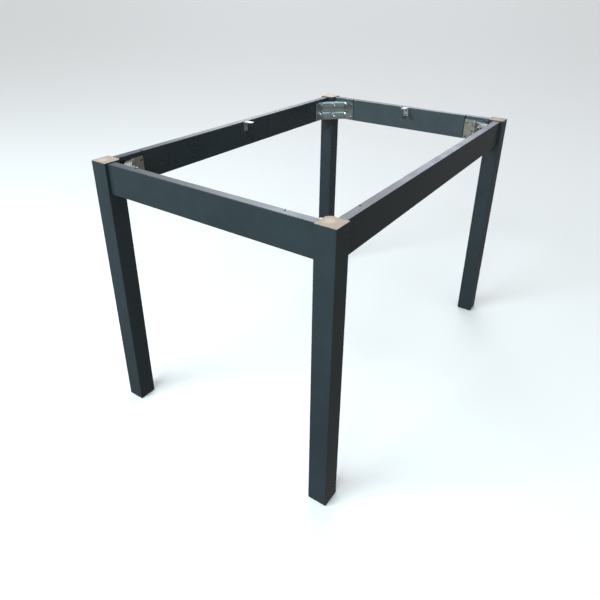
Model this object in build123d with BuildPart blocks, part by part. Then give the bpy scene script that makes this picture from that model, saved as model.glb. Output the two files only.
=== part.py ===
"""Knock-down dining table frame, without its top.

Four square wooden legs stand at the corners and four deep rails (aprons) butt
against them. In each inner corner a pressed and zinc-plated steel corner plate
is hooked into saw kerfs in the two rails and screwed to them. Two hanger bolts
run from the leg through the plate, and their nuts pull the leg tight. A small
angle clip in the middle of the rear and of the left rail takes the screw that
holds a table top.

Millimetres. The origin is the middle of the footprint on the floor, +Z is up,
X runs along the short side and Y along the long side.
"""

import os
from math import atan2, degrees, sqrt

from build123d import *

os.makedirs("parts", exist_ok=True)

# ----------------------------------------------------------------------------
# Driving dimensions
# ----------------------------------------------------------------------------

# whole frame, over the legs
frame_width = 700.0  # short side, X
frame_length = 1093.0  # long side, Y
frame_height = 730.0  # floor to leg top

# legs
leg_side = 50.0  # square section
leg_ease = 2.0  # rounding of the long edges
foot_ease = 2.0  # chamfer round the foot
leg_flat = 8.0  # flat planed on the inner edge for the joint, per side

# rails
rail_thickness = 22.0
rail_height = 78.0
rail_drop = 2.0  # rail top below the leg top
rail_setback = 8.0  # rail face behind the leg's outer face
rail_ease = 1.2  # rounding of the long edges

# saw kerfs in the inner faces of the rails, measured from the inner corner
kerf_start = 100.0
kerf_width = 4.0
kerf_depth = 8.5

# corner plate, pressed from sheet
sheet = 2.0
plate_drop = 11.5  # plate top below the rail top
plate_height = 65.5
web_reach = 65.8  # sum of both distances along the rails to the web's face
hook_length = 7.5  # edge turned into the kerf
bend_radius = 3.0  # inside radius of the two long bends

# stiffening lip folded back from the top of the web: (depth axis, half width)
lip_outline = [(45.2, 43.0), (36.4, 35.5), (34.6, 26.0), (33.2, 18.0), (31.8, 0.0)]

# two raised ribs across the web and its bends, one round each bolt
rib_height = 23.0
rib_flat = 16.0
rib_proud = 3.5

# hanger bolts, washers and nuts
bolt_drops = (23.5, 61.5)  # bolt axes below the rail top
bolt_radius = 4.0
bolt_neck = 3.6  # plain shank between the two threads
bolt_length = 80.0
wood_thread = 41.0
neck_length = 9.0
bolt_hole = 4.5
# free ends, measured on the diagonal from the inner corner: the bolts are not
# all driven equally deep
bolt_tips = {"front_left": 65.0, "front_right": 65.0, "rear_right": 62.0, "rear_left": 74.0}
washer_radius = 8.0
washer_bore = 4.2
washer_thickness = 1.6
nut_across_flats = 13.0
nut_thickness = 6.5

# pan-head screws, three on each flange: (distance from corner, drop below rail top)
screw_places = [(94.0, 20.5), (94.0, 67.0), (72.0, 46.5)]
screw_head_radius = 4.2
screw_head_height = 2.6
screw_radius = 2.0
screw_length = 17.0
screw_hole = 2.4
recess_long = 4.6
recess_wide = 1.1
recess_depth = 1.5

# angle clips for the table top, in the middle of these rails
clip_rails = ("rear", "left")
clip_width = 18.0
clip_reach = 30.0
clip_drop = 31.0
clip_holes = (10.5, 23.0)  # from the outer corner, in both legs of the angle
clip_hole = 2.25
clip_corner = 3.0

# ----------------------------------------------------------------------------
# Derived positions
# ----------------------------------------------------------------------------

half_x = frame_width / 2
half_y = frame_length / 2
rail_top = frame_height - rail_drop
rail_bottom = rail_top - rail_height
inner_x = half_x - rail_setback - rail_thickness  # inner faces of the long rails
inner_y = half_y - rail_setback - rail_thickness  # inner faces of the short rails
leg_out = rail_setback + rail_thickness  # leg's outer face beyond the inner corner
leg_in = leg_side - leg_out  # leg's inner face inside that corner

plate_top = rail_top - plate_drop
plate_bottom = plate_top - plate_height
root2 = sqrt(2)
web_face = web_reach / root2  # web's front face on the diagonal
web_back = web_face - sheet
web_back_reach = web_back * root2
rib_face = web_face + rib_proud
rib_slope = (rib_height - rib_flat) / 2
rib_taper = degrees(atan2(rib_slope, rib_proud))
# the hollow behind a rib is narrower than the rib, so that the wall stays one sheet thick
rib_inset = sheet * (sqrt(rib_proud**2 + rib_slope**2) - rib_slope) / rib_proud
leg_face = (2 * leg_in - leg_flat) / root2  # planed flat on the diagonal
bolt_heights = [rail_top - drop for drop in bolt_drops]

# Each corner has its own frame: origin where the inner faces of the two rails
# would meet, at floor level, with +X and +Y along the two rails and the
# diagonal of the joint half way between them.
corners = {
    "front_left": Location((-inner_x, -inner_y, 0), (0, 0, 0)),
    "front_right": Location((inner_x, -inner_y, 0), (0, 0, 90)),
    "rear_right": Location((inner_x, inner_y, 0), (0, 0, 180)),
    "rear_left": Location((-inner_x, inner_y, 0), (0, 0, 270)),
}

# Middle of each rail's inner face at rail-top height, +X pointing into the frame.
rail_middles = {
    "front": Location((0, -inner_y, rail_top), (0, 0, 90)),
    "rear": Location((0, inner_y, rail_top), (0, 0, 270)),
    "left": Location((-inner_x, 0, rail_top), (0, 0, 0)),
    "right": Location((inner_x, 0, rail_top), (0, 0, 180)),
}


def diagonal_plane(height, distance=0.0):
    """Upright plane across the joint's diagonal, facing into the frame."""
    return Plane(
        origin=(distance / root2, distance / root2, height),
        x_dir=(-1, 1, 0),
        z_dir=(1, 1, 0),
    )


def axial_plane(height):
    """Level plane through a bolt's axis: its X runs along the diagonal."""
    return Plane(origin=(0, 0, height), x_dir=(1, 1, 0), z_dir=(0, 0, 1))


# ----------------------------------------------------------------------------
# Pattern pieces, each made once in a corner's own frame
# ----------------------------------------------------------------------------

# One hanger bolt along X, its free end at the origin: wood thread and point in
# the leg, plain neck, machine thread.
neck_start = wood_thread - bolt_length
neck_end = neck_start + neck_length
with BuildPart() as hanger_bolt_pattern:
    with BuildSketch(Plane.XY) as bolt_section:
        with BuildLine():
            Polyline(
                (-bolt_length, 0),
                (-bolt_length + 7, bolt_radius),
                (neck_start, bolt_radius),
                (neck_start + 0.8, bolt_neck),
                (neck_end - 0.8, bolt_neck),
                (neck_end, bolt_radius),
                (-1, bolt_radius),
                (0, bolt_radius - 1),
                (0, 0),
                close=True,
            )
        make_face()
    revolve(axis=Axis.X)

# One washer and one nut, lying on z = 0 and pointing up.
with BuildPart() as washer_pattern:
    with BuildSketch():
        Circle(washer_radius)
        Circle(washer_bore, mode=Mode.SUBTRACT)
    extrude(amount=washer_thickness)
    chamfer(washer_pattern.faces().sort_by(Axis.Z)[-1].outer_wire().edges(), 0.3)

with BuildPart() as nut_pattern:
    Cylinder(
        nut_across_flats / sqrt(3) - 0.1,
        nut_thickness,
        align=(Align.CENTER, Align.CENTER, Align.MIN),
    )
    chamfer(nut_pattern.edges().filter_by(GeomType.CIRCLE), length=0.55, length2=1.0)
    with BuildSketch():
        RegularPolygon(nut_across_flats / 2, 6, major_radius=False)
    extrude(amount=nut_thickness, mode=Mode.INTERSECT)
    with BuildSketch():
        Circle(bolt_radius)
    extrude(amount=nut_thickness, mode=Mode.SUBTRACT)

# One pan-head screw with a cross recess: head above z = 0, shank below.
with BuildPart() as screw_pattern:
    with BuildSketch(Plane.XZ):
        with BuildLine():
            head_edge = Polyline(
                (0, -screw_length),
                (screw_radius, -screw_length + 4),
                (screw_radius, 0),
                (screw_head_radius, 0),
                (screw_head_radius, screw_head_height * 0.45),
            )
            crown = ThreePointArc(
                head_edge @ 1,
                (screw_head_radius * 0.72, screw_head_height * 0.86),
                (0, screw_head_height),
            )
            Line(crown @ 1, head_edge @ 0)
        make_face()
    revolve(axis=Axis.Z)
    with BuildSketch(Plane.XY.offset(screw_head_height + 0.2)):
        Rectangle(recess_long, recess_wide)
        Rectangle(recess_wide, recess_long)
    extrude(amount=-recess_depth - 0.2, taper=14, mode=Mode.SUBTRACT)

# Leg, with the planed flat; each corner's leg gets its bolt holes later.
with BuildPart() as leg_pattern:
    leg_middle = (leg_in - leg_out) / 2
    with BuildSketch():
        with Locations((leg_middle, leg_middle)):
            RectangleRounded(leg_side, leg_side, leg_ease)
    extrude(amount=frame_height)
    with BuildSketch(Plane.XY.offset(rail_bottom)):
        with BuildLine():
            Polyline(
                (leg_in + 1, leg_in - leg_flat - 1),
                (leg_in + 1, leg_in + 1),
                (leg_in - leg_flat - 1, leg_in + 1),
                close=True,
            )
        make_face()
    extrude(amount=frame_height - rail_bottom, mode=Mode.SUBTRACT)
    chamfer(leg_pattern.faces().sort_by(Axis.Z)[0].edges(), foot_ease)

# Corner plate: the ribs are raised first and cut off at the middle of the
# sheet, then the folded sheet and its lip are added, and last the backs of the
# ribs are hollowed, so that the wall is one sheet thick throughout.
rib_length = web_back_reach * root2  # well past both bends
plate_middle_reach = web_reach - sheet / root2
with BuildPart() as plate_pattern:
    for height in bolt_heights:
        with BuildSketch(diagonal_plane(height, web_face)):
            Rectangle(rib_length, rib_height)
        extrude(amount=rib_proud, taper=rib_taper)
        for flange in (
            Plane(origin=(0, sheet, height), x_dir=(-1, 0, 0), z_dir=(0, 1, 0)),
            Plane(origin=(sheet, 0, height), x_dir=(0, 1, 0), z_dir=(1, 0, 0)),
        ):
            run = -1 if flange.x_dir.X < 0 else 1
            with BuildSketch(flange):
                with Locations((run * (web_back_reach - 18), 0)):
                    SlotCenterToCenter(36, rib_height)
            extrude(amount=rib_proud, taper=rib_taper)
    with BuildSketch(Plane.XY.offset(plate_bottom)):
        with BuildLine():
            Polyline(
                (plate_middle_reach - sheet / 2, sheet / 2),
                (kerf_start, sheet / 2),
                (kerf_start, kerf_start),
                (sheet / 2, kerf_start),
                (sheet / 2, plate_middle_reach - sheet / 2),
                close=True,
            )
        make_face()
    extrude(amount=plate_height, mode=Mode.INTERSECT)
    hook = kerf_start + sheet
    with BuildSketch(Plane.XY.offset(plate_bottom)) as plate_section:
        with BuildLine():
            Polyline(
                (hook, -hook_length),
                (hook, sheet),
                (web_reach - sheet, sheet),
                (sheet, web_reach - sheet),
                (sheet, hook),
                (-hook_length, hook),
                (-hook_length, kerf_start),
                (0, kerf_start),
                (0, web_back_reach),
                (web_back_reach, 0),
                (kerf_start, 0),
                (kerf_start, -hook_length),
                close=True,
            )
        make_face()
        bends = plate_section.vertices()
        fillet(bends.filter_by(lambda v: abs(v.X + v.Y - web_reach) < 0.01), bend_radius)
        fillet(
            plate_section.vertices().filter_by(
                lambda v: abs(v.X + v.Y - web_back_reach) < 0.01
            ),
            bend_radius + sheet,
        )
        fillet(
            plate_section.vertices().filter_by(
                lambda v: abs(v.X + v.Y - hook - sheet) < 0.01
            ),
            sheet,
        )
    extrude(amount=plate_height)
    with BuildSketch(axial_plane(plate_top - sheet)):
        with BuildLine():
            Polyline(
                (web_face - sheet / 2, lip_outline[0][1]),
                *lip_outline,
                *[(depth, -side) for depth, side in reversed(lip_outline[:-1])],
                (web_face - sheet / 2, -lip_outline[0][1]),
                close=True,
            )
        make_face()
    extrude(amount=sheet)
    for height in bolt_heights:
        with BuildSketch(diagonal_plane(height, web_back)):
            Rectangle(rib_length, rib_height - 2 * rib_inset)
        extrude(amount=rib_proud, taper=rib_taper, mode=Mode.SUBTRACT)
        for flange in (
            Plane(origin=(0, 0, height), x_dir=(-1, 0, 0), z_dir=(0, 1, 0)),
            Plane(origin=(0, 0, height), x_dir=(0, 1, 0), z_dir=(1, 0, 0)),
        ):
            run = -1 if flange.x_dir.X < 0 else 1
            with BuildSketch(flange):
                with Locations((run * (web_back_reach - 18), 0)):
                    SlotCenterToCenter(36, rib_height - 2 * rib_inset)
            extrude(amount=rib_proud, taper=rib_taper, mode=Mode.SUBTRACT)
        with BuildSketch(diagonal_plane(height, web_back)):
            Circle(bolt_hole)
        extrude(amount=rib_proud + 2 * sheet, mode=Mode.SUBTRACT)
    for along, drop in screw_places:
        with BuildSketch(
            Plane(origin=(along, -1, rail_top - drop), x_dir=(-1, 0, 0), z_dir=(0, 1, 0)),
            Plane(origin=(-1, along, rail_top - drop), x_dir=(0, 1, 0), z_dir=(1, 0, 0)),
        ):
            Circle(screw_hole)
        extrude(amount=sheet + 2, mode=Mode.SUBTRACT)

# Angle clip: outer corner of the fold at the origin, one leg down the rail's
# face and the other into the frame, flush with the rail top.
with BuildPart() as clip_pattern:
    with BuildSketch(Plane.XZ) as clip_section:
        with BuildLine():
            Polyline(
                (0, 0),
                (clip_reach, 0),
                (clip_reach, -sheet),
                (sheet, -sheet),
                (sheet, -clip_drop),
                (0, -clip_drop),
                close=True,
            )
        make_face()
        fillet(clip_section.vertices().sort_by_distance((0, 0, 0))[0], 2.5)
        fillet(clip_section.vertices().sort_by_distance((sheet, 0, -sheet))[0], 0.5)
    extrude(amount=clip_width / 2, both=True)
    fillet(
        clip_pattern.edges().filter_by(Axis.Z).group_by(Axis.X)[-1]
        + clip_pattern.edges().filter_by(Axis.X).group_by(Axis.Z)[0],
        clip_corner,
    )
    with BuildSketch(Plane.XY):
        with Locations(*[(place, 0) for place in clip_holes]):
            Circle(clip_hole)
    extrude(amount=-sheet, mode=Mode.SUBTRACT)
    with BuildSketch(Plane.YZ):
        with Locations(*[(0, -place) for place in clip_holes]):
            Circle(clip_hole)
    extrude(amount=sheet, mode=Mode.SUBTRACT)

# ----------------------------------------------------------------------------
# Rails
# ----------------------------------------------------------------------------

# Screw places on one rail's inner face, as distance from its middle and drop
# below its top: the corner plates' three at each end, and one under a clip.
clip_screw_drop = clip_holes[1]
screw_grip = screw_length - sheet  # length of a screw inside the rail


def rail_screws(half_inner, has_clip):
    ends = [
        (side * (half_inner - along), drop) for side in (-1, 1) for along, drop in screw_places
    ]
    return ends + [(0, clip_screw_drop)] if has_clip else ends


for side, half_inner in (
    ("front", inner_x),
    ("rear", inner_x),
    ("left", inner_y),
    ("right", inner_y),
):
    face = rail_middles[side]
    half_run = half_inner - leg_in  # from leg to leg
    top = Plane(face)
    with BuildPart() as rail:
        # section through the kerfs, drawn on the rail's own top
        with BuildSketch(top):
            with Locations((-rail_thickness / 2, 0)):
                Rectangle(rail_thickness, 2 * half_run)
            with Locations(
                *[
                    (-kerf_depth / 2, end * (half_inner - kerf_start - kerf_width / 2))
                    for end in (-1, 1)
                ]
            ):
                Rectangle(kerf_depth, kerf_width, mode=Mode.SUBTRACT)
        extrude(amount=-rail_height)
        fillet(
            rail.edges().filter_by(
                lambda e: e.length > 2 * kerf_width
                and abs(e.tangent_at(0).dot(top.y_dir)) > 0.99
            ),
            rail_ease,
        )
        for along, drop in rail_screws(half_inner, side in clip_rails):
            with BuildSketch(
                Plane(
                    origin=(face * Location((0, along, -drop))).position,
                    x_dir=top.y_dir,
                    z_dir=top.x_dir,
                )
            ):
                Circle(screw_radius)
            extrude(amount=-screw_grip, mode=Mode.SUBTRACT)
    rail.part.label = f"rail_{side}"
    export_step(rail.part, f"parts/rail_{side}.step")

# ----------------------------------------------------------------------------
# The pieces of each corner
# ----------------------------------------------------------------------------

for corner, place in corners.items():
    bolt_start = bolt_tips[corner] - bolt_length
    with BuildPart() as bolt_pilot:
        with BuildSketch(Plane.XY):
            with BuildLine():
                Polyline(
                    (bolt_start, 0),
                    (bolt_start + 7, bolt_radius),
                    (leg_face + 1, bolt_radius),
                    (leg_face + 1, 0),
                    close=True,
                )
            make_face()
        revolve(axis=Axis.X)

    with BuildPart() as leg:
        with Locations(place):
            add(leg_pattern.part)
        with Locations(*[place * axial_plane(height).location for height in bolt_heights]):
            add(bolt_pilot.part, mode=Mode.SUBTRACT)
    leg.part.label = f"leg_{corner}"
    export_step(leg.part, f"parts/leg_{corner}.step")

    with BuildPart() as corner_plate:
        with Locations(place):
            add(plate_pattern.part)
    corner_plate.part.label = f"corner_plate_{corner}"
    export_step(corner_plate.part, f"parts/corner_plate_{corner}.step")

    with BuildPart() as hanger_bolts:
        with Locations(
            *[
                place * axial_plane(height).location * Location((bolt_tips[corner], 0, 0))
                for height in bolt_heights
            ]
        ):
            add(hanger_bolt_pattern.part)
    hanger_bolts.part.label = f"hanger_bolts_{corner}"
    export_step(hanger_bolts.part, f"parts/hanger_bolts_{corner}.step")

    with BuildPart() as washers:
        with Locations(
            *[place * diagonal_plane(height, rib_face).location for height in bolt_heights]
        ):
            add(washer_pattern.part)
    washers.part.label = f"washers_{corner}"
    export_step(washers.part, f"parts/washers_{corner}.step")

    with BuildPart() as nuts:
        with Locations(
            *[
                place * diagonal_plane(height, rib_face + washer_thickness).location
                for height in bolt_heights
            ]
        ):
            add(nut_pattern.part)
    nuts.part.label = f"hex_nuts_{corner}"
    export_step(nuts.part, f"parts/hex_nuts_{corner}.step")

    with BuildPart() as plate_screws:
        with Locations(
            *[
                place
                * Plane(
                    origin=(along, sheet, rail_top - drop), x_dir=(-1, 0, 0), z_dir=(0, 1, 0)
                ).location
                for along, drop in screw_places
            ],
            *[
                place
                * Plane(
                    origin=(sheet, along, rail_top - drop), x_dir=(0, 1, 0), z_dir=(1, 0, 0)
                ).location
                for along, drop in screw_places
            ],
        ):
            add(screw_pattern.part)
    plate_screws.part.label = f"plate_screws_{corner}"
    export_step(plate_screws.part, f"parts/plate_screws_{corner}.step")

# ----------------------------------------------------------------------------
# Clips for the table top
# ----------------------------------------------------------------------------

for side in clip_rails:
    with BuildPart() as top_clip:
        with Locations(rail_middles[side]):
            add(clip_pattern.part)
    top_clip.part.label = f"top_clip_{side}"
    export_step(top_clip.part, f"parts/top_clip_{side}.step")

with BuildPart() as clip_screws:
    with Locations(
        *[
            rail_middles[side]
            * Plane(origin=(sheet, 0, -clip_screw_drop), x_dir=(0, 1, 0), z_dir=(1, 0, 0)).location
            for side in clip_rails
        ]
    ):
        add(screw_pattern.part)
clip_screws.part.label = "clip_screws"
export_step(clip_screws.part, "parts/clip_screws.step")
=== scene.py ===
import math

import bmesh
import bpy
from mathutils import Matrix, Vector


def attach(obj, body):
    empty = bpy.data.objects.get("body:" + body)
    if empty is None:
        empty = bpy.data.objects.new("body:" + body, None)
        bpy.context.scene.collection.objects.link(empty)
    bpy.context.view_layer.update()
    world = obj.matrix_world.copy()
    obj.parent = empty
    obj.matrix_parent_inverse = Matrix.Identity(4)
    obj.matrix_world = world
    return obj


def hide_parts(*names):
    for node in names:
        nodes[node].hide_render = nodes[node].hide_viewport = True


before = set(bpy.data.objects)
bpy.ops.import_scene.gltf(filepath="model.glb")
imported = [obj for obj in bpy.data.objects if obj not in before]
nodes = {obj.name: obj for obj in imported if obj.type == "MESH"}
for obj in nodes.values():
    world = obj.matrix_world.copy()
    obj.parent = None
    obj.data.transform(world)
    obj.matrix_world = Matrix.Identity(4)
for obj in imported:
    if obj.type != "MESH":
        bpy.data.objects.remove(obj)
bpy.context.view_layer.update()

scene = bpy.context.scene
scene.view_settings.view_transform = "Standard"

# ----------------------------------------------------------------------------
# Camera: the photograph's own viewpoint, angle and lens
# ----------------------------------------------------------------------------

yaw, pitch, roll = 0.5840, 0.4609, 0.0165
eye = Vector((0.7909, -1.3042, 1.1286))
ahead = Vector((-math.cos(pitch) * math.sin(yaw), math.cos(pitch) * math.cos(yaw), -math.sin(pitch)))
side0 = ahead.cross(Vector((0, 0, 1))).normalized()
up0 = side0.cross(ahead)
side = side0 * math.cos(roll) + up0 * math.sin(roll)
up = up0 * math.cos(roll) - side0 * math.sin(roll)

camera_data = bpy.data.cameras.new("camera")
camera_data.sensor_width = 36.0
camera_data.lens = 535.64 / 600 * 36.0
camera_data.shift_x = (300 - 308.64) / 600
camera_data.shift_y = (247.45 - 300) / 600
camera_data.clip_end = 300
camera = bpy.data.objects.new("camera", camera_data)
scene.collection.objects.link(camera)
camera.matrix_world = Matrix(
    (
        (side.x, up.x, -ahead.x, eye.x),
        (side.y, up.y, -ahead.y, eye.y),
        (side.z, up.z, -ahead.z, eye.z),
        (0, 0, 0, 1),
    )
)
scene.camera = camera


# ----------------------------------------------------------------------------
# Small helpers for building node materials
# ----------------------------------------------------------------------------


class Nodes:
    """Builds one node tree: every method adds a node and returns its output socket."""

    def __init__(self, tree):
        self.tree = tree
        self.tree.nodes.clear()

    def new(self, kind, **settings):
        node = self.tree.nodes.new(kind)
        for key, value in settings.items():
            setattr(node, key, value)
        return node

    def put(self, socket, value):
        if isinstance(value, bpy.types.NodeSocket):
            self.tree.links.new(value, socket)
        elif value is not None:
            if isinstance(value, tuple) and len(value) == 3 and socket.type == "RGBA":
                value = (*value, 1.0)
            socket.default_value = value

    def math(self, operation, a, b=None, c=None, clamp=False):
        node = self.new("ShaderNodeMath", operation=operation, use_clamp=clamp)
        for socket, value in zip(node.inputs, (a, b, c)):
            self.put(socket, value)
        return node.outputs[0]

    def vmath(self, operation, a, b=None):
        node = self.new("ShaderNodeVectorMath", operation=operation)
        self.put(node.inputs[0], a)
        if b is not None:
            self.put(node.inputs[1], b)
        return node.outputs["Value"] if operation in ("LENGTH", "DISTANCE", "DOT_PRODUCT") else node.outputs[0]

    def mapping(self, vector, location=(0, 0, 0), rotation=(0, 0, 0), scale=(1, 1, 1)):
        node = self.new("ShaderNodeMapping")
        self.put(node.inputs["Vector"], vector)
        node.inputs["Location"].default_value = location
        node.inputs["Rotation"].default_value = rotation
        node.inputs["Scale"].default_value = scale
        return node.outputs[0]

    def place(self):
        return self.new("ShaderNodeTexCoord").outputs["Object"]

    def split(self, vector):
        node = self.new("ShaderNodeSeparateXYZ")
        self.put(node.inputs[0], vector)
        return node.outputs

    def join(self, x, y, z):
        node = self.new("ShaderNodeCombineXYZ")
        for socket, value in zip(node.inputs, (x, y, z)):
            self.put(socket, value)
        return node.outputs[0]

    def noise(self, vector, scale, detail=3.0, roughness=0.5, distortion=0.0):
        node = self.new("ShaderNodeTexNoise")
        self.put(node.inputs["Vector"], vector)
        node.inputs["Scale"].default_value = scale
        node.inputs["Detail"].default_value = detail
        node.inputs["Roughness"].default_value = roughness
        node.inputs["Distortion"].default_value = distortion
        return node.outputs["Fac"]

    def voronoi(self, vector, scale, feature="F1", output="Distance", randomness=1.0):
        node = self.new("ShaderNodeTexVoronoi", feature=feature)
        self.put(node.inputs["Vector"], vector)
        node.inputs["Scale"].default_value = scale
        node.inputs["Randomness"].default_value = randomness
        return node.outputs[output]

    def ramp(self, factor, stops, interpolation="LINEAR"):
        node = self.new("ShaderNodeValToRGB")
        node.color_ramp.interpolation = interpolation
        elements = node.color_ramp.elements
        while len(elements) < len(stops):
            elements.new(0.5)
        for element, (position, colour) in zip(elements, stops):
            element.position = position
            element.color = (*colour, 1) if isinstance(colour, tuple) else (colour, colour, colour, 1)
        self.put(node.inputs["Fac"], factor)
        return node.outputs["Color"]

    def step(self, value, low, high, out_low=0.0, out_high=1.0, smooth=True):
        node = self.new(
            "ShaderNodeMapRange", interpolation_type="SMOOTHSTEP" if smooth else "LINEAR", clamp=True
        )
        self.put(node.inputs["Value"], value)
        self.put(node.inputs["From Min"], low)
        self.put(node.inputs["From Max"], high)
        self.put(node.inputs["To Min"], out_low)
        self.put(node.inputs["To Max"], out_high)
        return node.outputs[0]

    def mix(self, factor, a, b, blend="MIX"):
        node = self.new("ShaderNodeMix", data_type="RGBA", blend_type=blend, clamp_factor=True)
        self.put(node.inputs[0], factor)
        self.put(node.inputs[6], a)
        self.put(node.inputs[7], b)
        return node.outputs[2]

    def mixf(self, factor, a, b):
        node = self.new("ShaderNodeMix", data_type="FLOAT", clamp_factor=True)
        self.put(node.inputs[0], factor)
        self.put(node.inputs[2], a)
        self.put(node.inputs[3], b)
        return node.outputs[0]

    def bump(self, height, distance, strength=1.0, normal=None):
        node = self.new("ShaderNodeBump")
        node.inputs["Strength"].default_value = strength
        node.inputs["Distance"].default_value = distance
        self.put(node.inputs["Height"], height)
        if normal is not None:
            self.put(node.inputs["Normal"], normal)
        return node.outputs[0]

    def bevel(self, radius, samples=4):
        node = self.new("ShaderNodeBevel", samples=samples)
        node.inputs["Radius"].default_value = radius
        return node.outputs[0]

    def edges(self, radius):
        """1 on sharp edges, falling to 0 within the radius."""
        normal = self.new("ShaderNodeNewGeometry").outputs["Normal"]
        agree = self.vmath("DOT_PRODUCT", self.bevel(radius), normal)
        return self.step(agree, 0.995, 0.75, smooth=True)

    def hollows(self, distance, samples=8):
        """1 in the open, falling to 0 deep in corners."""
        node = self.new("ShaderNodeAmbientOcclusion", samples=samples)
        node.inputs["Distance"].default_value = distance
        return node.outputs["AO"]


def material(name):
    made = bpy.data.materials.new(name)
    made.use_nodes = True
    return made, Nodes(made.node_tree)


def shader(n, made, colour, roughness, metallic=0.0, normal=None, **plain):
    bsdf = n.new("ShaderNodeBsdfPrincipled")
    n.put(bsdf.inputs["Base Color"], colour)
    n.put(bsdf.inputs["Roughness"], roughness)
    n.put(bsdf.inputs["Metallic"], metallic)
    if normal is not None:
        n.put(bsdf.inputs["Normal"], normal)
    for key, value in plain.items():
        bsdf.inputs[key.replace("_", " ")].default_value = value
    out = n.new("ShaderNodeOutputMaterial")
    n.tree.links.new(bsdf.outputs[0], out.inputs[0])
    made.diffuse_color = (0.2, 0.2, 0.2, 1)
    return made


# ----------------------------------------------------------------------------
# Materials
# ----------------------------------------------------------------------------

PAINT = (0.0235, 0.0345, 0.0405)
PAINT_WORN = (0.052, 0.064, 0.070)


def painted_timber(name, along, seed, ends=None, painted_light_scale=1.0):
    """Satin anthracite paint over planed timber. along is the grain's axis (0, 1 or 2).

    ends, for a leg, is (pith x, pith y, heart x, heart y): its sawn ends are bare
    end grain with growth rings round the pith. The last argument lightens or darkens
    the piece's paint as painted light and shade, standing in for how brightly the light falls on it.
    """
    made, n = material(name)
    paint = tuple(painted_light_scale * c for c in PAINT)
    where = n.mapping(n.place(), location=(seed * 1.37, seed * 0.71, seed * 0.53))
    grain_scale = [1.0, 1.0, 1.0]
    grain_scale[along] = 0.035

    # slow change of tone, from the film's thickness and handling
    tone = n.noise(where, 3.2, detail=4, roughness=0.55)
    blotch = n.noise(where, 19.0, detail=3, roughness=0.5)
    colour = n.mix(n.step(tone, 0.3, 0.7), tuple(0.90 * c for c in paint), tuple(1.12 * c for c in paint))
    colour = n.mix(n.step(blotch, 0.45, 0.75, 0.0, 0.35), colour, tuple(1.25 * c for c in paint))

    # the timber's grain shows faintly through the film
    grained = n.mapping(where, scale=tuple(grain_scale))
    grain = n.noise(grained, 230.0, detail=3, roughness=0.6, distortion=0.4)
    pores = n.noise(n.mapping(where, scale=tuple(g if g == 1 else 0.02 for g in grain_scale)), 900.0, detail=2)
    colour = n.mix(n.step(grain, 0.52, 0.66, 0.0, 0.05), colour, tuple(0.72 * c for c in paint))

    # rubbed edges, fine scuffs and a few pale specks of dust
    edge = n.edges(0.0016)
    rub = n.math("MULTIPLY", edge, n.step(n.noise(where, 42.0, detail=4, roughness=0.65), 0.50, 0.66))
    colour = n.mix(n.math("MULTIPLY", rub, 0.55), colour, PAINT_WORN)
    scuff = n.noise(n.mapping(where, rotation=(0.5, 0.9, 0.3), scale=(1, 9, 1)), 26.0, detail=5, roughness=0.7)
    scuffed = n.step(scuff, 0.66, 0.74)
    colour = n.mix(n.math("MULTIPLY", scuffed, 0.08), colour, PAINT_WORN)
    speck = n.step(n.voronoi(where, 55.0), 0.052, 0.030)
    rare = n.step(n.noise(where, 7.0, detail=1), 0.52, 0.60)
    speck = n.math("MULTIPLY", speck, rare)
    colour = n.mix(n.math("MULTIPLY", speck, 0.30), colour, (0.22, 0.23, 0.23))

    # satin sheen: a little uneven, duller where scuffed
    rough = n.step(blotch, 0.25, 0.75, 0.25, 0.32)
    rough = n.math("ADD", rough, n.math("MULTIPLY", scuffed, 0.015))
    rough = n.math("ADD", rough, n.math("MULTIPLY", n.step(grain, 0.4, 0.7), 0.02))

    # surface: soft roller stipple and the grain under it
    stipple = n.noise(where, 620.0, detail=2, roughness=0.5)
    wave = n.noise(where, 60.0, detail=2, roughness=0.5)
    height = n.math("MULTIPLY", stipple, 0.35)
    height = n.math("ADD", height, n.math("MULTIPLY", wave, 0.6))
    height = n.math("ADD", height, n.math("MULTIPLY", grain, -0.22))
    height = n.math("ADD", height, n.math("MULTIPLY", pores, -0.25))
    height = n.math("ADD", height, n.math("MULTIPLY", speck, 0.2))
    normal = n.bump(height, 0.00007, 0.7, n.bevel(0.0007))

    if ends is None:
        return shader(n, made, colour, rough, normal=normal, IOR=1.5)

    # ---- bare sawn end grain on the leg's top and foot ----
    pith_x, pith_y, heart_x, heart_y = ends
    place = n.place()
    x, y, z = n.split(place)
    facing = n.split(n.new("ShaderNodeNewGeometry").outputs["Normal"])[2]
    bare = n.step(n.math("ABSOLUTE", facing), 0.92, 0.97)

    warp = n.noise(n.mapping(place, scale=(1, 1, 0)), 38.0, detail=2, roughness=0.5)
    dx = n.math("SUBTRACT", x, pith_x)
    dy = n.math("SUBTRACT", y, pith_y)
    radius = n.math("POWER", n.math("ADD", n.math("MULTIPLY", dx, dx), n.math("MULTIPLY", dy, dy)), 0.5)
    radius = n.math("ADD", radius, n.math("MULTIPLY", n.math("SUBTRACT", warp, 0.5), 0.010))
    ring = n.math("FRACT", n.math("MULTIPLY", radius, 1 / 0.0046))
    late = n.math("MULTIPLY", n.step(ring, 0.30, 0.82), n.step(ring, 1.0, 0.93))
    wood = n.mix(late, (0.545, 0.405, 0.305), (0.375, 0.252, 0.172))
    fibre = n.noise(place, 2600.0, detail=2, roughness=0.6)
    wood = n.mix(n.step(fibre, 0.35, 0.75, 0.0, 0.32), wood, (0.31, 0.222, 0.150))
    # medullary rays, radiating from the pith
    angle = n.math("ARCTAN2", dy, dx)
    rays = n.noise(n.join(n.math("MULTIPLY", angle, 34.0), n.math("MULTIPLY", radius, 14.0), seed * 3.1), 3.0, detail=2)
    wood = n.mix(n.step(rays, 0.55, 0.75, 0.0, 0.22), wood, (0.58, 0.462, 0.348))
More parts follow.
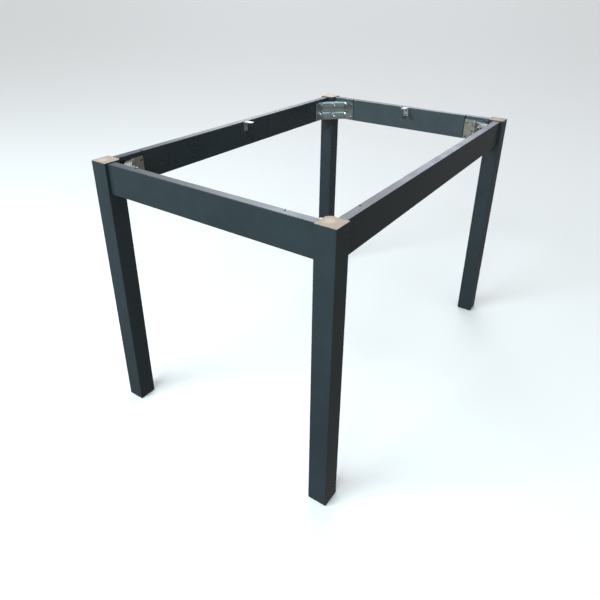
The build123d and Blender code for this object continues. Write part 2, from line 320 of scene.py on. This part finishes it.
    # paler heart and slow stains
    hx = n.math("SUBTRACT", x, heart_x)
    hy = n.math("SUBTRACT", y, heart_y)
    heart = n.math("POWER", n.math("ADD", n.math("MULTIPLY", hx, hx), n.math("MULTIPLY", hy, hy)), 0.5)
    wood = n.mix(n.step(heart, 0.017, 0.005, 0.0, 0.55), wood, (0.72, 0.555, 0.43))
    stain = n.noise(n.mapping(place, location=(seed, 0, 0), scale=(1, 1, 0)), 55.0, detail=4, roughness=0.6)
    wood = n.mix(n.step(stain, 0.50, 0.72, 0.0, 0.30), wood, (0.33, 0.258, 0.205))
    # marks of the saw blade, slightly curved, across the end
    kerf = n.math("ADD", n.math("MULTIPLY", n.math("ADD", x, n.math("MULTIPLY", y, 0.35)), 1500.0), n.math("MULTIPLY", warp, 3.0))
    saw = n.math("SINE", n.math("MULTIPLY", kerf, 2.2))
    wood = n.mix(n.step(saw, 0.2, 1.0, 0.0, 0.10), wood, (0.30, 0.23, 0.16))
    # paint that crept over the rim of the end
    rim = n.edges(0.0042)
    creep = n.noise(place, 210.0, detail=4, roughness=0.6)
    crept = n.step(n.math("ADD", rim, n.math("MULTIPLY", creep, 0.75)), 1.14, 1.30)
    film = n.math("MULTIPLY", n.math("SUBTRACT", 1.0, crept), bare)
    grime = n.step(n.math("ADD", rim, n.math("MULTIPLY", creep, 0.5)), 0.45, 1.2, 0.0, 0.18)
    wood = n.mix(grime, wood, (0.17, 0.145, 0.12))

    whole = n.mix(film, colour, wood)
    rough_all = n.mixf(film, rough, n.step(fibre, 0.2, 0.8, 0.62, 0.85))
    wood_height = n.math("ADD", n.math("MULTIPLY", fibre, 0.8), n.math("MULTIPLY", late, 0.5))
    wood_height = n.math("ADD", wood_height, n.math("MULTIPLY", saw, 0.35))
    height_all = n.mixf(film, height, wood_height)
    normal = n.bump(height_all, 0.00007, 0.8, n.bevel(0.0006))
    return shader(n, made, whole, rough_all, normal=normal, IOR=1.5)


def zinc(name, base, dull, seed, rough=(0.26, 0.42), tint=None, bump=0.00005, bevel=0.0004):
    """Electroplated zinc on pressed steel: soft spangle and streaks, with painted shade darkening the hollows, which
    are also rougher.
    """
    made, n = material(name)
    where = n.mapping(n.place(), location=(seed, seed * 0.4, seed * 0.9))
    spangle = n.voronoi(where, 420.0, output="Color")
    shade = n.split(spangle)[0]
    cloud = n.noise(where, 34.0, detail=5, roughness=0.6)
    streak = n.noise(n.mapping(where, scale=(1, 1, 0.12)), 300.0, detail=3, roughness=0.6)
    colour = n.mix(n.step(cloud, 0.30, 0.70), base, dull)
    colour = n.mix(n.math("MULTIPLY", shade, 0.22), colour, tuple(min(1, 1.25 * c) for c in base))
    colour = n.mix(n.step(streak, 0.45, 0.75, 0.0, 0.25), colour, tuple(0.75 * c for c in dull))
    if tint is not None:
        colour = n.mix(n.step(n.noise(where, 120.0, detail=2), 0.45, 0.7, 0.0, 0.6), colour, tint)
    rubbed = n.edges(0.0009)
    colour = n.mix(n.math("MULTIPLY", rubbed, 0.45), colour, tuple(min(1, 1.4 * c) for c in base))
    # painted shade: deep in hollows, recesses and joints the colour is darkened towards near black, where shade falls;
    # there the zinc is also made rougher
    open_air = n.hollows(0.006)
    colour = n.mix(n.step(open_air, 0.75, 0.15, 0.0, 0.75), colour, (0.045, 0.045, 0.042))
    roughness = n.mixf(cloud, rough[0], rough[1])
    roughness = n.math("ADD", roughness, n.math("MULTIPLY", n.math("SUBTRACT", shade, 0.5), 0.08))
    roughness = n.math("ADD", roughness, n.step(open_air, 0.8, 0.2, 0.0, 0.2))
    fine = n.noise(where, 1500.0, detail=2)
    dents = n.noise(where, 90.0, detail=2)
    height = n.math("ADD", n.math("MULTIPLY", fine, 0.4), n.math("MULTIPLY", dents, 2.5))
    height = n.math("ADD", height, n.math("MULTIPLY", streak, 0.5))
    normal = n.bump(height, bump, 0.7, n.bevel(bevel))
    return shader(n, made, colour, roughness, metallic=1.0, normal=normal)


# base and dull tone of each plate, tinted and lightened per corner as painted light and reflection: the front left one
# yellower, the rear left one bluer, as the light at each corner makes it look
ZINC_TONES = {
    "front_left": ((0.56, 0.54, 0.47), (0.42, 0.40, 0.34)),
    "front_right": ((0.51, 0.53, 0.52), (0.37, 0.38, 0.37)),
    "rear_right": ((0.48, 0.47, 0.44), (0.34, 0.33, 0.31)),
    "rear_left": ((0.50, 0.55, 0.56), (0.36, 0.40, 0.415)),
}
zinc_plate = {
    corner: zinc(f"zinc_plate_{corner}", *tones, 1.7 + 2.3 * i)
    for i, (corner, tones) in enumerate(ZINC_TONES.items())
}
zinc_clip = zinc("zinc_clip", (0.60, 0.62, 0.62), (0.45, 0.47, 0.47), 5.1, rough=(0.22, 0.36))
zinc_nut = zinc("zinc_nut", (0.50, 0.52, 0.52), (0.38, 0.39, 0.385), 8.3, rough=(0.22, 0.36), bevel=0.0003)
zinc_washer = zinc("zinc_washer", (0.53, 0.55, 0.55), (0.40, 0.41, 0.41), 9.9, rough=(0.25, 0.4), bevel=0.0002)
zinc_bolt = zinc("zinc_bolt", (0.52, 0.54, 0.54), (0.40, 0.41, 0.40), 3.3, rough=(0.2, 0.34), bevel=0.0001)
yellow_screw = zinc(
    "yellow_screw", (0.30, 0.26, 0.19), (0.20, 0.165, 0.115), 6.6, rough=(0.26, 0.42), tint=(0.27, 0.20, 0.16), bevel=0.0002
)

zinc_screw = zinc(
    "zinc_screw", (0.50, 0.51, 0.46), (0.37, 0.375, 0.335), 7.9, rough=(0.24, 0.38), tint=(0.40, 0.36, 0.27), bevel=0.0002
)

# growth-ring centres and pale hearts of the four leg tops
LEG_ENDS = {
    "leg_front_left": (-0.372, -0.560, -0.331, -0.528),
    "leg_front_right": (0.296, -0.470, 0.318, -0.519),
    "leg_rear_right": (0.388, 0.560, 0.322, 0.520),
    "leg_rear_left": (-0.300, 0.585, -0.328, 0.524),
}
# the rear left leg's paint is made 1.2 times lighter: painted light, standing in for the brighter light on that leg
for i, (name, ends) in enumerate(LEG_ENDS.items()):
    look = painted_timber(f"paint_{name}", 2, 1.1 + 3.7 * i, ends, painted_light_scale=1.2 if name == "leg_rear_left" else 1.0)
    for s in nodes[name].material_slots:
        s.material = look
# the rails' paint is darkened per rail as painted shade, the rear one to 0.9 and the left one to 0.68, standing in for
# how the light falls on each
for i, (name, along, painted_light_scale) in enumerate(
    (("rail_front", 0, 1.0), ("rail_rear", 0, 0.9), ("rail_left", 1, 0.68), ("rail_right", 1, 1.0))
):
    look = painted_timber(f"paint_{name}", along, 21.0 + 2.9 * i, painted_light_scale=painted_light_scale)
    for s in nodes[name].material_slots:
        s.material = look
for corner, look in zinc_plate.items():
    for s in nodes[f"corner_plate_{corner}"].material_slots:
        s.material = look
    for kind, finish in (("hex_nuts", zinc_nut), ("washers", zinc_washer), ("plate_screws", yellow_screw)):
        for s in nodes[f"{kind}_{corner}"].material_slots:
            s.material = finish
for where in ("rear", "left"):
    for s in nodes[f"top_clip_{where}"].material_slots:
        s.material = zinc_clip
for s in nodes["clip_screws"].material_slots:
    s.material = zinc_screw

# ----------------------------------------------------------------------------
# Hanger bolts with their real threads
# ----------------------------------------------------------------------------


def threaded_bolt(bm, origin, direction, tip):
    """Adds one hanger bolt to bm: wood thread, plain neck and M8 machine thread."""
    start, flat, neck_end = tip - 80.0, tip - 39.0, tip - 30.0
    segments = 22
    across = direction.cross(Vector((0, 0, 1))).normalized()
    over = across.cross(direction)

    def section(d):
        if d < flat:
            return "wood"
        if d < neck_end:
            return "neck"
        return "machine"

    def reach(d, angle):
        turn = angle / (2 * math.pi)
        if d < flat:
            taper = min(1.0, (d - start) / 7.0)
            phase = (d / 2.8 - turn) % 1.0
            crest = max(0.0, 1.0 - abs(phase - 0.5) * 4.6)
            return max(0.02, taper * (2.75 + 1.2 * crest))
        if d < neck_end:
            return 3.6
        phase = (d / 1.25 - turn) % 1.0
        fade = min(1.0, (d - neck_end) / 1.2, max(0.0, (tip - 0.4 - d) / 0.8))
        full = 3.36 + 0.62 * min(1.0, max(0.0, 1.15 - abs(phase - 0.5) * 2.5))
        plain = 3.45 if d > tip - 1.2 else 3.6
        return plain + (full - plain) * max(0.0, fade)

    stops = []
    d = start
    while d < tip:
        stops.append(d)
        kind = section(d)
        d += {"wood": 0.56, "neck": 2.6, "machine": 0.25}[kind]
        if kind == "neck" and d > neck_end - 0.01:
            d = max(d, neck_end)
    stops.append(tip)
    rings = []
    for d in stops:
        ring = []
        for k in range(segments):
            angle = 2 * math.pi * k / segments
            r = reach(d, angle)
            if d >= tip:
                r = 2.9
            offset = across * (math.cos(angle) * r) + over * (math.sin(angle) * r)
            ring.append(bm.verts.new((origin + direction * d + offset) / 1000))
        rings.append(ring)
    for a, b in zip(rings, rings[1:]):
        for k in range(segments):
            face = bm.faces.new((a[k], a[(k + 1) % segments], b[(k + 1) % segments], b[k]))
            face.smooth = True
    bm.faces.new(list(reversed(rings[0])))
    bm.faces.new(rings[-1])


corners = {
    "front_left": (-320.0, -516.5, 1, 1, 65.0),
    "front_right": (320.0, -516.5, -1, 1, 65.0),
    "rear_right": (320.0, 516.5, -1, -1, 62.0),
    "rear_left": (-320.0, 516.5, 1, -1, 74.0),
}
for corner, (x0, y0, sx, sy, tip) in corners.items():
    bm = bmesh.new()
    for height in (704.5, 666.5):
        threaded_bolt(bm, Vector((x0, y0, height)), Vector((sx, sy, 0)).normalized(), tip)
    bmesh.ops.recalc_face_normals(bm, faces=bm.faces)
    mesh = bpy.data.meshes.new(f"threaded_bolts_{corner}")
    bm.to_mesh(mesh)
    bm.free()
    piece = bpy.data.objects.new(f"threaded_bolts_{corner}", mesh)
    scene.collection.objects.link(piece)
    mesh.materials.append(zinc_bolt)
    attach(piece, "root")
    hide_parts(f"hanger_bolts_{corner}")

# ----------------------------------------------------------------------------
# Floor and light
# ----------------------------------------------------------------------------

floor_mesh = bpy.data.meshes.new("floor")
floor_mesh.from_pydata([(-90, -90, 0), (90, -90, 0), (90, 90, 0), (-90, 90, 0)], [], [(0, 1, 2, 3)])
floor = bpy.data.objects.new("floor", floor_mesh)
scene.collection.objects.link(floor)
pale, n = material("pale_floor")
cloud = n.noise(n.place(), 1.3, detail=3)
shader(n, pale, n.mix(cloud, (0.97, 0.93, 0.88), (0.985, 0.945, 0.895)), 0.75)
floor_mesh.materials.append(pale)
floor.visible_glossy = False
floor.visible_diffuse = False

world = bpy.data.worlds.new("studio")
world.use_nodes = True
scene.world = world
w = Nodes(world.node_tree)
direction = w.new("ShaderNodeTexCoord").outputs["Generated"]
x, y, z = w.split(direction)

# four wide soft sources, each filling one quarter of the horizon; the stops run
# from the ground up to the ceiling as (height of the direction, colour)
GROUND, CEILING = (0.14, 0.13, 0.12), (0.38, 0.41, 0.46)
QUARTERS = (
    ((-1, -1), ((-0.25, (0.25, 0.30, 0.26)), (0.0, (0.94, 0.83, 0.76)), (0.25, (0.72, 0.67, 0.58)), (0.55, (0.34, 0.25, 0.19)))),
    ((1, -1), ((-0.25, (0.26, 0.34, 0.37)), (0.0, (0.54, 0.53, 0.38)), (0.25, (0.76, 0.76, 0.60)), (0.55, (0.65, 0.62, 0.50)))),
    ((1, 1), ((-0.25, (0.15, 0.14, 0.14)), (0.0, (0.35, 0.43, 0.38)), (0.25, (0.15, 0.17, 0.28)), (0.55, (0.25, 0.23, 0.33)))),
    ((-1, 1), ((-0.25, (0.14, 0.14, 0.14)), (0.0, (0.15, 0.15, 0.15)), (0.25, (0.17, 0.16, 0.16)), (0.55, (1.05, 1.50, 1.70)))),
)
FULL = 4.0
flat = w.math("POWER", w.math("ADD", w.math("MULTIPLY", x, x), w.math("MULTIPLY", y, y)), 0.5)
flat = w.math("MAXIMUM", flat, 0.0001)
light = None
for (ax, ay), stops in QUARTERS:
    ladder = ((-0.6, GROUND), *stops, (1.0, CEILING))
    band = w.ramp(
        w.math("MULTIPLY_ADD", z, 0.5, 0.5),
        [((height + 1) / 2, tuple(c / FULL for c in colour)) for height, colour in ladder],
    )
    toward = w.math("ADD", w.math("MULTIPLY", x, ax * 0.70711), w.math("MULTIPLY", y, ay * 0.70711))
    toward = w.math("MAXIMUM", w.math("DIVIDE", toward, flat), 0.0)
    share = w.vmath("SCALE", band)
    w.put(share.node.inputs["Scale"], w.math("MULTIPLY", toward, toward))
    light = share if light is None else w.vmath("ADD", light, share)

# soft bright openings behind the frame, mirrored in the tops of its rails, and one
# each overhead and below for the slopes of the plates
for azimuth, elevation, tightness, colour in (
    (27, 34, 26, (2.35, 1.70, 1.75)),
    (36, 23, 200, (2.80, 3.80, 4.35)),
    (19.5, 16, 260, (3.00, 3.60, 4.10)),
    (43, 13.5, 100, (2.00, 1.85, 1.95)),
    (-85, 72, 30, (0.75, 1.10, 1.25)),
    (-5, -72, 30, (0.30, 0.32, 0.32)),
):
    az, el = math.radians(azimuth), math.radians(elevation)
    aim = (-math.sin(az) * math.cos(el), math.cos(az) * math.cos(el), math.sin(el))
    near = w.math("MAXIMUM", w.vmath("DOT_PRODUCT", direction, aim), 0.0)
    glow = w.vmath("SCALE", tuple(c / FULL for c in colour))
    w.put(glow.node.inputs["Scale"], w.math("POWER", near, float(tightness)))
    light = w.vmath("ADD", light, glow)

background = w.new("ShaderNodeBackground")
w.put(background.inputs["Color"], light)
background.inputs["Strength"].default_value = FULL
# a low view looks past the floor's far edge: there it sees a plain pale wall
wall = w.new("ShaderNodeBackground")
wall.inputs["Color"].default_value = (0.80, 0.83, 0.84, 1.0)
either = w.new("ShaderNodeMixShader")
w.tree.links.new(w.new("ShaderNodeLightPath").outputs["Is Camera Ray"], either.inputs[0])
w.tree.links.new(background.outputs[0], either.inputs[1])
w.tree.links.new(wall.outputs[0], either.inputs[2])
world_out = w.new("ShaderNodeOutputWorld")
w.tree.links.new(either.outputs[0], world_out.inputs[0])


def softbox(name, position, target, width, height, power, colour=(1, 1, 1)):
    data = bpy.data.lights.new(name, "AREA")
    data.shape = "RECTANGLE"
    data.size, data.size_y = width, height
    data.energy = power
    data.color = colour
    lamp = bpy.data.objects.new(name, data)
    scene.collection.objects.link(lamp)
    lamp.location = position
    lamp.rotation_mode = "QUATERNION"
    lamp.rotation_quaternion = (Vector(target) - Vector(position)).to_track_quat("-Z", "Y")
    return lamp


def light_only(lamp, objects):
    """The lamp lights only these objects."""
    group = bpy.data.collections.new(lamp.name + "_lights")
    for o in objects:
        group.objects.link(o)
    lamp.light_linking.receiver_collection = group


everything = [o for o in scene.objects if o.type == "MESH"]
rear_rail, left_rail = [nodes["rail_rear"]], [nodes["rail_left"]]
left_corner = [o for o in everything if o.name.split(".")[0].endswith("rear_left")]
far_end = rear_rail + left_corner
for lamp in (
    softbox("key", (-1.6, -3.4, 3.0), (0, 0, 0.5), 2.4, 2.0, 143, (0.80, 1.0, 1.14)),
    softbox("front", (0.6, -4.2, 2.2), (0, 0, 0.5), 2.0, 1.6, 94, (0.77, 1.0, 1.07)),
):
    light_only(lamp, [o for o in everything if o not in far_end])

# the far end is lit by two smaller lamps under the ceiling instead, and the left
# rail's inner face by one of them: they cast the shadows of the clips and rails
for label, objects, share, colour in (
    ("rail", rear_rail, 1.45, (0.91, 1.0, 1.02)),
    ("corner", left_corner, 0.45, (0.80, 1.0, 1.22)),
):
    at_left = softbox(f"left_{label}", (-1.56, -1.28, 3.16), (0, 0, 0.5), 0.22, 0.22, 147 * share, colour)
    at_right = softbox(f"right_{label}", (0.37, -1.33, 3.16), (0, 0, 0.5), 0.22, 0.22, 133 * share, colour)
    light_only(at_left, objects)
    light_only(at_right, objects)
# a dim fill for the outer faces at the back, without a reflection of its own
back = softbox("back", (-1.7, 3.6, 0.8), (0, 0, 0.5), 2.2, 1.4, 80, (0.90, 1.0, 1.06))
back.visible_glossy = False
light_only(back, [o for o in everything if o is not floor])
light_only(softbox("right_low", (0.37, -1.33, 3.16), (0, 0, 0.5), 0.22, 0.22, 52, (0.88, 1.0, 1.05)), left_rail)

# ----------------------------------------------------------------------------
# Update the scene
# ----------------------------------------------------------------------------

bpy.context.view_layer.update()
